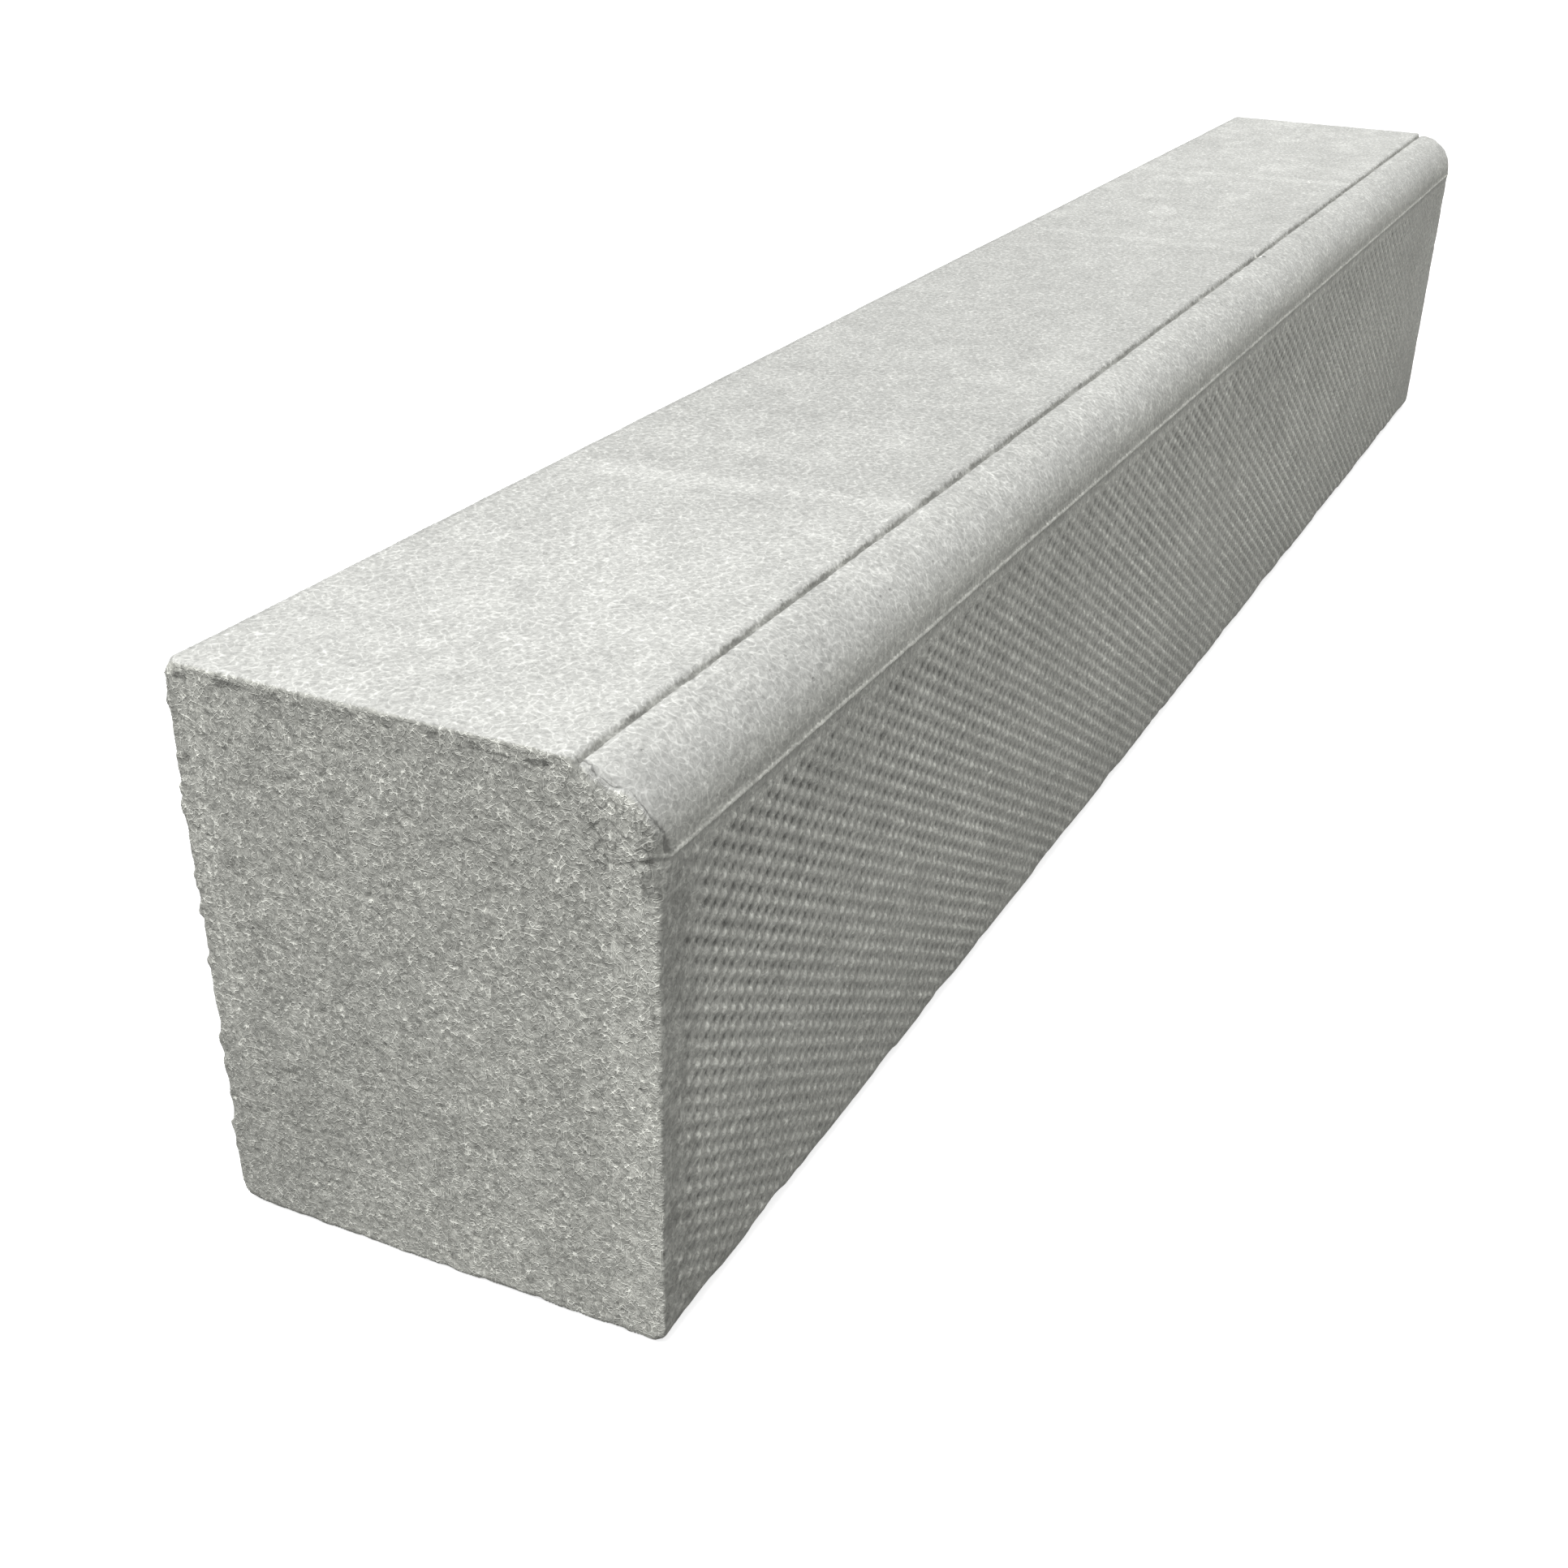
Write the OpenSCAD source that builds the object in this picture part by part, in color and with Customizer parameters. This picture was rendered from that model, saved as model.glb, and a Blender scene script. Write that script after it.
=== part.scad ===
// Bullnosed kerb unit of pressed precast concrete.
// The length runs along X, the road face looks along -Y, the back along +Y and +Z is up.
// The origin is the middle of the base. Dimensions are in millimetres.
// One casting of two concretes pressed together while wet: a coarse backing concrete,
// and a finer facing concrete that forms the top, the nose and the road face.

/* [Unit] */
// Length from one end joint to the other
unit_l = 915; // [300:5:915]
// Width from the road face to the back face
unit_w = 125; // [100:1:255]
// Height from the base to the top
unit_h = 150; // [125:1:305]

/* [Nose] */
// Radius of the round nose between the top and the road face
nose_r = 18; // [12:0.5:24]
// How far the top stands above the crest of the nose
top_step = 0.9; // [0.3:0.1:2]
// Width of the groove between the crest of the nose and the top
groove_w = 2; // [1:0.1:4]
// Depth of the groove below the crest of the nose
groove_d = 0.6; // [0.2:0.1:1]
// Width of the fin that the mould joint leaves where the nose meets the road face
fin_w = 1.2; // [0.6:0.1:2]
// How far the fin stands out from the road face
fin_h = 0.4; // [0.2:0.1:1]

/* [Arrises] */
// Radius of the arris between the top and the back
top_back_r = 1.5; // [0.5:0.5:4]
// Radius of the arris between the base and the back
base_back_r = 3; // [0.5:0.5:6]
// Radius of the arris between the base and the road face
base_front_r = 4; // [0.5:0.5:6]

/* [Layers] */
// Thickness of the facing concrete under the top
facing_top_t = 9; // [6:0.5:14]
// Thickness of the facing concrete behind the road face
facing_front_t = 12; // [8:0.5:16]
// Radius of the facing concrete's inner corner behind the nose
facing_inner_r = 22; // [12:1:30]
// Height of the waves where the two concretes were pressed into each other
key_h = 1.4; // [0:0.1:3]
// Length of one wave
key_l = 26; // [15:1:50]

/* [Hidden] */
$fn = 96;

// Faces of the section, with Y across and Z up
front_y = -unit_w / 2;
back_y = unit_w / 2;
crest_z = unit_h - top_step;
nose_y = front_y + nose_r;
nose_z = crest_z - nose_r;

// Where the two concretes meet: level under the top, upright behind the road face
key_z = unit_h - facing_top_t;
key_y = front_y + facing_front_t;
corner_y = key_y + facing_inner_r;
corner_z = key_z - facing_inner_r;
key_steps = 40;
corner_steps = 8;

// Middle of the fin, just below the line where the nose turns into the flat road face
fin_z = nose_z - fin_w / 2 - 0.2;

// Overlap that keeps the cutting outlines clear of the faces that they cut
clear = 1;

backing_color = [0.62, 0.62, 0.60];
facing_color = [0.80, 0.80, 0.77];

// Height of the wave at a distance s from the inner corner
function wave(s) = key_h / 2 * sin(360 * s / key_l);

// A square corner with its round part taken away: what an arris of radius r loses
module arris_waste(r) {
    difference() {
        translate([-clear, -clear]) square(r + clear);
        translate([r, r]) circle(r);
    }
}

// The fin: a wedge that is fin_w wide at the road face, with its root inside the unit
module fin() {
    root_w = fin_w * (fin_h + clear) / fin_h;
    polygon([[-fin_h, 0], [clear, -root_w / 2], [clear, root_w / 2]]);
}

// The section of the whole unit
module section() {
    difference() {
        union() {
            translate([front_y, 0]) square([unit_w, nose_z]);
            translate([nose_y, 0]) square([unit_w - nose_r, crest_z]);
            translate([nose_y, nose_z]) circle(nose_r);
            translate([nose_y + groove_w, 0]) square([unit_w - nose_r - groove_w, unit_h]);
            translate([front_y, fin_z]) fin();
        }
        translate([nose_y, crest_z])
            polygon([[0, clear], [0, 0], [groove_w / 2, -groove_d], [groove_w, 0], [groove_w, clear]]);
        translate([back_y, unit_h]) rotate(180) arris_waste(top_back_r);
        translate([back_y, 0]) rotate(90) arris_waste(base_back_r);
        translate([front_y, 0]) arris_waste(base_front_r);
    }
}

// Everything on the backing side of the wavy line where the two concretes meet
module backing_side() {
    level_l = back_y + clear - corner_y;
    upright_l = corner_z + clear;
    level = [for (i = [0 : key_steps])
        let (s = level_l * (1 - i / key_steps)) [corner_y + s, key_z + wave(s)]];
    corner = [for (i = [1 : corner_steps])
        let (a = 90 + 90 * i / corner_steps)
        [corner_y + facing_inner_r * cos(a), corner_z + facing_inner_r * sin(a)]];
    upright = [for (i = [1 : key_steps])
        let (s = upright_l * i / key_steps) [key_y + wave(s), corner_z - s]];
    polygon(concat(level, corner, upright, [[back_y + clear, -clear]]));
}

// Draws a section along the whole length
module run_out() {
    rotate([90, 0, 90]) linear_extrude(unit_l, center = true) children();
}

// The coarse concrete: the body of the unit, its back, its base and most of both ends
module backing_concrete() {
    color(backing_color) run_out() intersection() {
        section();
        backing_side();
    }
}

// The fine concrete: the top, the groove, the nose, the fin and the road face
module facing_layer() {
    color(facing_color) run_out() difference() {
        section();
        backing_side();
    }
}

backing_concrete();
facing_layer();
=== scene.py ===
"""Looks of a bullnosed kerb unit of pressed concrete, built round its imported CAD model.

The road face looks along -Y, the back along +Y, the length runs along X and the origin is the middle of the
base. Shapes are worked out in millimetres and scaled to metres when a mesh is made.
"""

import math

import bmesh
import bpy
import numpy as np
from mathutils import Matrix, Vector
from mathutils.geometry import delaunay_2d_cdt


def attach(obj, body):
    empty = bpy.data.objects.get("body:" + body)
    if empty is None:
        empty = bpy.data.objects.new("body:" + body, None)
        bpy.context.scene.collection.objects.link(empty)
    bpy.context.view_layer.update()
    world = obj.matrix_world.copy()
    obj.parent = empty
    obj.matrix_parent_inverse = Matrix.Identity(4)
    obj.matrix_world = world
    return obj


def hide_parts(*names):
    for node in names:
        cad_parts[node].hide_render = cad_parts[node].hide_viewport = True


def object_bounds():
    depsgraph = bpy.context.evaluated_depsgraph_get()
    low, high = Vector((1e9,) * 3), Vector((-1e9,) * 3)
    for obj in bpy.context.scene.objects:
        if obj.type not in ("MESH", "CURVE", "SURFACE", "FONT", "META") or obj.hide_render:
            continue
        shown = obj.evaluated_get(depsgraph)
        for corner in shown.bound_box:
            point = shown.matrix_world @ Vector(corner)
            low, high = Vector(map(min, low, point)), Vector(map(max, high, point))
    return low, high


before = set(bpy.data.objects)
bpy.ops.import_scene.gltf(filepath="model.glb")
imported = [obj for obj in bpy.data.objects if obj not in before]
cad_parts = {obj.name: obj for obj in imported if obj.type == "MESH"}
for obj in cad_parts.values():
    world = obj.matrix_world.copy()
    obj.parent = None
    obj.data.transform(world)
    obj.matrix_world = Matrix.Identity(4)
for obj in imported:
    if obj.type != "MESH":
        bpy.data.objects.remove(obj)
CAD_LOW, CAD_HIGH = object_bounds()
MM = 0.001

# ---------------------------------------------------------------- driving dimensions, in millimetres
LENGTH = (CAD_HIGH.x - CAD_LOW.x) / MM
HALF = LENGTH / 2
BACK = CAD_HIGH.y / MM
FRONT = -BACK
TOP = CAD_HIGH.z / MM

NOSE_R = 18.0
TOP_STEP = 0.9
GROOVE_W = 2.0
GROOVE_D = 0.6
FIN_W = 1.2
FIN_H = 0.4
TOP_BACK_R = 1.5
BASE_BACK_R = 3.0
BASE_FRONT_R = 4.0

CREST = TOP - TOP_STEP
NOSE_Y = FRONT + NOSE_R
NOSE_Z = CREST - NOSE_R
FIN_Z = NOSE_Z - FIN_W / 2 - 0.2

# the line where the two concretes meet, as in the CAD model
KEY_Z = TOP - 9.0
KEY_Y = FRONT + 12.0
KEY_R = 22.0
KEY_CORNER_Y = KEY_Y + KEY_R
KEY_CORNER_Z = KEY_Z - KEY_R
KEY_WAVE_H = 0.7
KEY_WAVE_L = 26.0

# the dots that the perforated press plate leaves on the road face
DOT_PITCH = 5.0
DOT_COLUMN = DOT_PITCH * math.sqrt(3) / 2
DOT_R = 1.5
DOT_H = 0.55
HOLLOW_D = 0.35
DOT_TOP_Z = 126.0
DOT_ROWS = 25
DOT_FIRST_X = -HALF + 8.0
DOT_LAST_X = HALF - 10.0
DOT_SHIFT = 0.12
DOT_FADE_X = HALF - 150.0
DOT_FADE_L = 70.0

# blur of the section's corners and of the direction in which relief stands out
SECTION_BLUR = 0.25
OUTWARD_BLUR = 3.0

# the chip where the fin meets an end, and the skin worn round above it: the middle and reach of each round
# the nose in degrees, the chip's slope, and how much of both the right end has
CHIP_TURN = 179.0
CHIP_REACH = 23.0
CHIP_SLOPE = 0.75
WRAP_TURN = 111.0
WRAP_REACH = 21.0
RIGHT_END_WEAR = 0.3

# the radii that the arrises of an end may have, and the height of the flash on the one at the back
SMALLEST_R = 0.45
LARGEST_R = 5.8
BURR_H = 1.5


# ---------------------------------------------------------------- noise
def lattice_random(ix, iy, iz, seed):
    """A fixed random number from -1 to 1 for each whole-number lattice point."""
    h = (ix * 374761393 + iy * 668265263 + iz * 2147483647 + seed * 1274126177) & 0xFFFFFFFF
    h = ((h ^ (h >> 13)) * 1103515245) & 0xFFFFFFFF
    h = ((h ^ (h >> 16)) * 2654435761) & 0xFFFFFFFF
    return ((h ^ (h >> 15)) & 0xFFFFFF) / float(0x7FFFFF) - 1.0


def noise(points, size, seed):
    """Smooth noise from -1 to 1 whose lumps are about size millimetres across."""
    p = np.asarray(points, float) / size
    cell = np.floor(p).astype(np.int64)
    f = p - cell
    f = f * f * (3 - 2 * f)
    total = np.zeros(len(p))
    for dx in (0, 1):
        wx = f[:, 0] if dx else 1 - f[:, 0]
        for dy in (0, 1):
            wy = f[:, 1] if dy else 1 - f[:, 1]
            for dz in (0, 1):
                wz = f[:, 2] if dz else 1 - f[:, 2]
                value = lattice_random(cell[:, 0] + dx, cell[:, 1] + dy, cell[:, 2] + dz, seed)
                total += wx * wy * wz * value
    return total


def rough(points, size, seed, octaves=3):
    """Layers of noise, each half the size and half the strength of the one before."""
    return sum(noise(points, size / 2**i, seed + i) / 2**i for i in range(octaves))


def line_noise(along, size, seed):
    """Noise along a line."""
    along = np.asarray(along, float)
    zero = np.zeros(len(along))
    return noise(np.stack([along, zero + 0.5, zero + 0.5], 1), size, seed)


def step(low, high, value):
    """0 below low, 1 above high, and a smooth ramp between."""
    t = np.clip((value - low) / (high - low), 0, 1)
    return t * t * (3 - 2 * t)


# ---------------------------------------------------------------- the section
def wave(along):
    return KEY_WAVE_H * np.sin(2 * math.pi * np.asarray(along, float) / KEY_WAVE_L)


KEY_BACK_Z = KEY_Z + float(wave(BACK - KEY_CORNER_Y))
KEY_BASE_Y = KEY_Y + float(wave(KEY_CORNER_Z))
SAMPLE = 0.1


def arc(cy, cz, r, start, end):
    steps = max(4, int(abs(math.radians(end - start)) * r / SAMPLE))
    turn = np.radians(np.linspace(start, end, steps + 1))
    return np.stack([cy + r * np.cos(turn), cz + r * np.sin(turn)], 1)


def straight(y0, z0, y1, z1):
    steps = max(1, int(math.hypot(y1 - y0, z1 - z0) / SAMPLE))
    t = np.linspace(0, 1, steps + 1)[:, None]
    return np.array([y0, z0]) * (1 - t) + np.array([y1, z1]) * t


def make_section():
    """The outline of the section, from the upper seam over the top and the road face, along the base and up
    the back. Returns the positions, the outward normals, the distance along the outline, and where its
    named places are."""
    runs = [
        ("upper_seam", straight(BACK, KEY_BACK_Z, BACK, TOP - TOP_BACK_R)),
        ("top_back", arc(BACK - TOP_BACK_R, TOP - TOP_BACK_R, TOP_BACK_R, 0, 90)),
        ("top", straight(BACK - TOP_BACK_R, TOP, NOSE_Y + GROOVE_W, TOP)),
        ("groove_side", straight(NOSE_Y + GROOVE_W, TOP, NOSE_Y + GROOVE_W / 2, CREST - GROOVE_D)),
        ("groove", straight(NOSE_Y + GROOVE_W / 2, CREST - GROOVE_D, NOSE_Y, CREST)),
        ("nose", arc(NOSE_Y, NOSE_Z, NOSE_R, 90, 180)),
        ("fin_side", straight(FRONT, NOSE_Z, FRONT, FIN_Z + FIN_W / 2)),
        ("fin_top", straight(FRONT, FIN_Z + FIN_W / 2, FRONT - FIN_H, FIN_Z)),
        ("fin", straight(FRONT - FIN_H, FIN_Z, FRONT, FIN_Z - FIN_W / 2)),
        ("face", straight(FRONT, FIN_Z - FIN_W / 2, FRONT, BASE_FRONT_R)),
        ("base_front", arc(FRONT + BASE_FRONT_R, BASE_FRONT_R, BASE_FRONT_R, 180, 270)),
        ("base_strip", straight(FRONT + BASE_FRONT_R, 0, KEY_BASE_Y, 0)),
        ("lower_seam", straight(KEY_BASE_Y, 0, BACK - BASE_BACK_R, 0)),
        ("base_back", arc(BACK - BASE_BACK_R, BASE_BACK_R, BASE_BACK_R, 270, 360)),
        ("back", straight(BACK, BASE_BACK_R, BACK, KEY_BACK_Z)),
    ]
    outline, places, so_far = [], {}, 0.0
    for name, run in runs:
        places[name] = so_far
        so_far += float(np.linalg.norm(np.diff(run, axis=0), axis=1).sum())
        outline.append(run[:-1])
    outline = np.concatenate(outline)
    around = np.concatenate([outline, outline[:1]])
    distance = np.concatenate([[0], np.cumsum(np.linalg.norm(np.diff(around, axis=0), axis=1))])
    places["end"] = so_far
    even = np.arange(0, so_far, SAMPLE)
    even_outline = np.stack([np.interp(even, distance, around[:, i]) for i in (0, 1)], 1)
    soft = smooth_loop(even_outline, SECTION_BLUR)
    along = smooth_loop(np.roll(soft, -1, 0) - np.roll(soft, 1, 0), OUTWARD_BLUR)
    along /= np.linalg.norm(along, axis=1)[:, None]
    outward = np.stack([along[:, 1], -along[:, 0]], 1)
    if outward[int(places["top"] / SAMPLE) + 50, 1] < 0:
        outward = -outward
    return even, soft, outward, places


def smooth_loop(values, width):
    """A closed run of samples, blurred by a bell curve of that width in millimetres."""
    reach = int(4 * width / SAMPLE)
    bell = np.exp(-0.5 * (np.arange(-reach, reach + 1) * SAMPLE / width) ** 2)
    bell /= bell.sum()
    padded = np.concatenate([values[-reach:], values, values[:reach]])
    return np.stack([np.convolve(padded[:, i], bell, "valid") for i in (0, 1)], 1)


SECTION_S, SECTION_YZ, SECTION_OUT, AT = make_section()
GROOVE_S = AT["groove"]
FIN_S = AT["fin"]
ROUND = AT["end"]


def section_at(s):
    """Positions and outward normals of the section at distances s along it."""
    s = np.mod(s, ROUND)
    yz = np.stack([np.interp(s, SECTION_S, SECTION_YZ[:, i], period=ROUND) for i in (0, 1)], 1)
    out = np.stack([np.interp(s, SECTION_S, SECTION_OUT[:, i], period=ROUND) for i in (0, 1)], 1)
    return yz, out / np.linalg.norm(out, axis=1)[:, None]


# ---------------------------------------------------------------- the dots
DOT_COLUMNS = int((DOT_LAST_X - DOT_FIRST_X) / DOT_COLUMN) + 1


def dot_centre(column, row):
    """Middle of a dot on the road face, as x and z. Odd columns sit half a pitch lower."""
    x = DOT_FIRST_X + column * DOT_COLUMN
    z = DOT_TOP_Z - row * DOT_PITCH - (column % 2) * DOT_PITCH / 2
    x = x + DOT_SHIFT * lattice_random(column, row, 0 * row, 11)
    z = z + DOT_SHIFT * lattice_random(column, row, 0 * row, 12)
    return x, z


def dot_strength(column, row):
    """How well a dot was pressed, from 0 to 1.5: faint by the left end, fading out towards the right end."""
    x, z = dot_centre(column, row)
    place = np.stack([x, 0 * x, z], 1)
    even = 1 + 0.25 * lattice_random(column, row, 0 * row, 13) + 0.35 * noise(place, 45.0, 14)
    last = DOT_FADE_X + 0.55 * (DOT_TOP_Z - z) + 22 * noise(place, 45.0, 15)
    fade = 1 - 0.85 * step(last, last + DOT_FADE_L, x)
    fade = fade * (0.25 + 0.75 * step(7, 17, x + HALF + 5 * noise(place, 9.0, 19)))
    exists = (row >= 0) & (row < DOT_ROWS - column % 2) & (column >= 0) & (column < DOT_COLUMNS)
    return np.clip(even, 0.35, 1.5) * fade * exists


def dot_height(x, z):
    """Relief of the road face at points x, z: about 1 on a dot, and about -1 in the hollow under it. The dots
    are bolder low down on the face, and the hollows higher up."""
    near = np.rint((x - DOT_FIRST_X) / DOT_COLUMN).astype(np.int64)
    height = np.zeros(len(x))
    hollow = np.zeros(len(x))
    upper = step(55, 115, z)
    for side in (-1, 0, 1):
        column = near + side
        down = (DOT_TOP_Z - z) / DOT_PITCH - (column % 2) / 2
        row = np.rint(down).astype(np.int64)
        cx, cz = dot_centre(column, row)
        away = np.hypot(x - cx, z - cz)
        height = np.maximum(height, dot_strength(column, row) * (1 - step(0.4, 1.15 * DOT_R, away)))
        row = np.rint(down - 0.5).astype(np.int64)
        cx, cz = dot_centre(column, row)
        away = np.hypot(x - cx, z - cz + DOT_PITCH / 2)
        depth = dot_strength(column, row) * (0.75 + 0.35 * lattice_random(column, row, 0 * row, 16))
        hollow = np.maximum(hollow, depth * (1 - step(0.3, 1.25, away)))
    return height * (1.13 - 0.50 * upper) - hollow * (0.75 + 0.64 * upper)


# ---------------------------------------------------------------- the surface
# worn long arrises: the distance along the section, the reach and the depth of the wear of each
EDGES = (
    (AT["top_back"] + 1.2, 2.4, 0.18),
    (AT["base_front"] + 3.0, 4.0, 1.0),
    (AT["base_back"] + 2.5, 4.0, 1.0),
)

# what the material reads at each point: the relief of the dots, the distances from the groove and the fin in
# millimetres, and 1 on an end face
LOOKS = ("dots", "groove", "fin", "end_face")
FAR_OFF = 6.0
END_LOOK = np.array([[0.0, FAR_OFF, FAR_OFF, 1.0]])


def nose_turn(s):
    """Direction from the nose's centre to the section at s, in degrees: 90 is up and 180 is the road side."""
    yz, _ = section_at(s)
    return np.mod(np.degrees(np.arctan2(yz[:, 1] - NOSE_Z, yz[:, 0] - NOSE_Y)), 360)


def nose_chip(s, left):
    """How far the arris is broken away where the fin meets an end, from 0 to 1."""
    turn = nose_turn(s)
    return np.exp(-(((turn - CHIP_TURN) / CHIP_REACH) ** 2)) * (turn > 90) * (1.0 if left else RIGHT_END_WEAR)


def nose_wrap(s, left):
    """How far the pale skin is worn round the arris at the top of the nose, from 0 to 1."""
    return np.exp(-(((nose_turn(s) - WRAP_TURN) / WRAP_REACH) ** 4)) * (1.0 if left else RIGHT_END_WEAR)


def end_radius(s, left):
    """Radius of the worn arris between the skin and an end face, at distances s along the section."""
    yz, _ = section_at(s)
    place = np.stack([np.full(len(s), 0.0 if left else 900.0), yz[:, 0], yz[:, 1]], 1)
    worn = 0.75 + 0.35 * noise(place, 3.0, 21) + 0.5 * step(0.1, 0.8, noise(place, 7.0, 22))
    bites = 1.6 * step(0.35, 0.75, noise(place, 9.0, 23))
    top_only = step(TOP - 4, TOP - 1, yz[:, 1])
    worn = worn + bites * (0.45 + 0.55 * top_only)
    worn = worn + nose_chip(s, left) * (5.0 + 1.7 * noise(place, 5.0, 24))
    worn = worn + nose_wrap(s, left) * (3.6 + 1.6 * noise(place, 5.0, 25))
    corner = np.exp(-((yz[:, 0] - BACK) ** 2 + (yz[:, 1] - TOP) ** 2) / 3.0**2)
    return np.clip(worn + 1.4 * corner, SMALLEST_R, LARGEST_R)


def end_grain(y, z, left):
    """Depth of the rough end face behind its flat plane, at points y, z."""
    place = np.stack([np.full(len(y), 0.0 if left else 900.0), y, z], 1)
    depth = 0.1 * noise(place, 1.9, 31) + 0.07 * noise(place, 4.0, 32) + 0.12 * noise(place, 22.0, 35) + 0.15
    pits = 0.45 * step(0.72, 0.9, noise(place, 1.9, 36))
    return np.clip(depth + pits, -0.25, 1.5)


def burr(s, left):
    """How far the mould's flash stands out along the back upright arris of an end."""
    yz, _ = section_at(s)
    on_back = (yz[:, 0] > BACK - 0.5) & (yz[:, 1] > 4) & (yz[:, 1] < TOP - 3)
    height = yz[:, 1] + (0 if left else 500)
    flash = step(-0.1, 0.5, line_noise(height, 4.5, 41)) * (0.5 + 0.5 * line_noise(height, 1.7, 42))
    return on_back * BURR_H * flash


def surface(x, s):
    """Points of the finished skin at x along the unit and s round its section, and their looks."""
    x = np.asarray(x, float)
    s = np.asarray(s, float)
    near_groove = 1 - step(2.0, 5.0, np.abs(s - GROOVE_S))
    near_fin = 1 - step(1.5, 4.0, np.abs(s - FIN_S))
    wander = 0.4 * line_noise(x, 21.0, 51) + 0.3 * line_noise(x, 7.0, 52) + 0.16 * line_noise(x, 3.0, 50)
    fin_wander = 0.3 * line_noise(x, 24.0, 53) + 0.15 * line_noise(x, 6.0, 54)
    yz, out = section_at(s + near_groove * wander + near_fin * fin_wander)
    place = np.stack([x, yz[:, 0], yz[:, 1]], 1)

    # the skin's waviness and grain, then the road face's dots, hollows and uneven strip
    lift = 0.12 * noise(place, 60.0, 55) + 0.05 * noise(place, 14.0, 56) + 0.035 * rough(place, 2.2, 57, 2)
    on_face = (yz[:, 0] < FRONT + 0.2) & (yz[:, 1] < FIN_Z - 2)
    dots = np.where(on_face, dot_height(x, yz[:, 1]), 0)
    lift = lift + np.where(dots > 0, DOT_H, HOLLOW_D) * dots
    strip = on_face * (1 - step(6, 16, x + HALF)) * step(0.1, 0.6, np.abs(noise(place, 3.4, 62)))
    lift = lift - 0.28 * strip

    # the groove is a crack with crumbled sides, and the fin is a ridge
    from_groove = s + wander - GROOVE_S + 0.1
    from_fin = s + fin_wander - FIN_S
    crack = 1 - step(0.35, 1.2, np.abs(from_groove))
    crack = crack * (0.75 + 0.35 * line_noise(x, 9.0, 49))
    ridge = 1 - step(0.2, 0.85, np.abs(from_fin))
    lift = lift - 0.65 * crack + 0.32 * ridge * (1 + 0.6 * line_noise(x, 4.0, 48))
    lift = lift - near_groove * 0.3 * step(0.2, 0.7, noise(place, 4.0, 58))

    for edge_s, reach, wear in EDGES:
        worn = 0.15 + 0.4 * noise(place, 5.0, 59) + 0.5 * noise(place, 19.0, 60)
        lift = lift - wear * np.exp(-(((s - edge_s) / reach) ** 2)) * np.clip(worn, 0, 1.2)

    # the arris of each end: rounded, or cut off flat where it is chipped, with the flash at the back
    left = x < 0
    from_end = HALF - np.abs(x)
    radius = np.where(left, end_radius(s, True), end_radius(s, False))
    turn = np.clip(radius - from_end, 0, radius)
    rounded = radius - np.sqrt(np.maximum(radius**2 - turn**2, 0))
    chip = np.where(left, nose_chip(s, True), nose_chip(s, False))
    inward = rounded + chip * (CHIP_SLOPE * turn - rounded)
    fracture = step(0, 0.7, radius - from_end) * 0.16 * radius * noise(place, 1.8, 61)
    stand_out = np.where(left, burr(s, True), burr(s, False)) * (1 - step(0.5, 2.0, from_end))
    lift = lift - inward - fracture + stand_out

    y = yz[:, 0] + out[:, 0] * lift
    z = yz[:, 1] + out[:, 1] * lift
    grain = np.where(left, end_grain(y, z, True), end_grain(y, z, False))
    blend = 1 - step(0.0, 3.0, from_end)
    wrap = np.where(left, nose_wrap(s, True), nose_wrap(s, False))
    looks = np.stack([
        dots,
        np.clip(from_groove, -FAR_OFF, FAR_OFF),
        np.clip(from_fin, -FAR_OFF, FAR_OFF),
        1 - step(0.1 - 0.1 * wrap, 0.9 - 0.72 * wrap, from_end / radius),
    ], 1)
    return np.stack([x - np.sign(x) * grain * blend, y, z], 1), looks


# ---------------------------------------------------------------- point layouts
def grid(x0, x1, s0, s1, dx, ds, jitter=0.0, seed=1):
    """Rows of points, every other row shifted by half a step, that stay inside the rectangle's edges."""
    columns = max(1, round((x1 - x0) / dx))
    rows = max(1, round((s1 - s0) / ds))
    dx, ds = (x1 - x0) / columns, (s1 - s0) / rows
    i, j = np.meshgrid(np.arange(columns), np.arange(rows), indexing="ij")
    i, j = i.ravel(), j.ravel()
    x = x0 + (i + 0.25 + 0.5 * (j % 2)) * dx
    s = s0 + (j + 0.5) * ds
    x = x + jitter * dx * lattice_random(i, j, 0 * i, seed)
    s = s + jitter * ds * lattice_random(i, j, 0 * i, seed + 1)
    return np.stack([x, s], 1)


def lines(x0, x1, at, dx):
    """Points along lines of constant s, every other line shifted by half a step."""
    columns = max(1, round((x1 - x0) / dx))
    dx = (x1 - x0) / columns
    x = x0 + (np.arange(columns) + 0.25) * dx
    rows = [np.stack([x + (k % 2) * dx / 2, np.full(columns, s)], 1) for k, s in enumerate(at)]
    return np.concatenate(rows)


END_ZONE = 6.0
END_STEPS = (0.0, 0.35, 0.8, 1.4, 2.2, 3.2, 4.5, END_ZONE)
RING_STEP = 0.85
SEAM_STEP = 3.0


def spread(start, end, spacing):
    """Even values from start to end, both included."""
    return np.linspace(start, end, max(1, round(abs(end - start) / spacing)) + 1)


def seam_x():
    """Where the seams between the two concretes have their points, from the left end to the right."""
    middle = spread(-HALF + END_ZONE, HALF - END_ZONE, SEAM_STEP)
    left = -HALF + np.array(END_STEPS[:-1])
    return np.concatenate([left, middle, -left[::-1]])


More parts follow.
